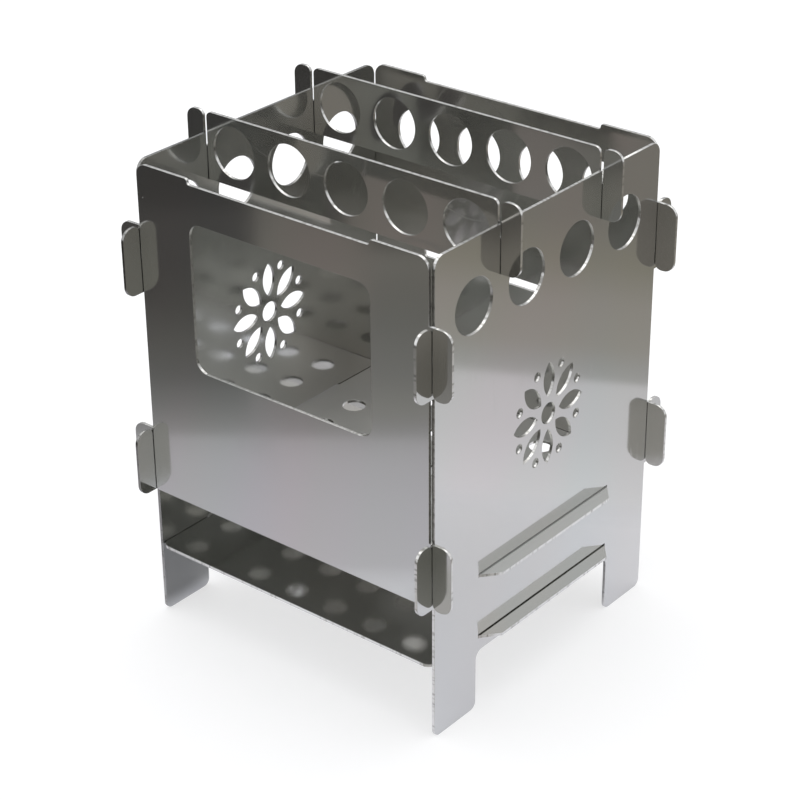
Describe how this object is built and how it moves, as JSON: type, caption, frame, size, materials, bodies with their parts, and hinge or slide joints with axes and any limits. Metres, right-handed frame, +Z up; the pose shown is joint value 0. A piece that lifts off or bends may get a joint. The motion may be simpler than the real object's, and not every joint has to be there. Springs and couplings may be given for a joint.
{
  "type": "pocket stove",
  "caption": "Flat-pack wood-burning pocket stove of lapped sheet-steel panels with round vents, a loading window, a perforated grate, an ash plate and pot trivets.",
  "frame": {"origin": "on the floor, under the middle of the stove", "axes": "+Z up, +X to the right seen from the front, -Y towards the front, where the loading window is"},
  "size_m": [0.1284, 0.127, 0.167],
  "materials": {
    "stainless_sheet": "smooth cold-rolled, half mirror"
  },
  "bodies": {
    "side_frame": {"left_side_panel": "stainless_sheet", "right_side_panel": "stainless_sheet", "grate": "stainless_sheet", "ash_plate": "stainless_sheet"},
    "front_panel": {"front_panel": "stainless_sheet"},
    "rear_panel": {"rear_panel": "stainless_sheet"},
    "front_trivet": {"front_trivet": "stainless_sheet"},
    "rear_trivet": {"rear_trivet": "stainless_sheet"}
  },
  "joints": [
    {"name": "front_panel_lift", "type": "slide", "parent": "side_frame", "child": "front_panel", "axis": [0, 0, 1], "range_m": [0, 0.024]},
    {"name": "rear_panel_lift", "type": "slide", "parent": "side_frame", "child": "rear_panel", "axis": [0, 0, 1], "range_m": [0, 0.024]},
    {"name": "front_trivet_lift", "type": "slide", "parent": "side_frame", "child": "front_trivet", "axis": [0, 0, 1], "range_m": [0, 0.025]},
    {"name": "rear_trivet_lift", "type": "slide", "parent": "side_frame", "child": "rear_trivet", "axis": [0, 0, 1], "range_m": [0, 0.025]}
  ]
}
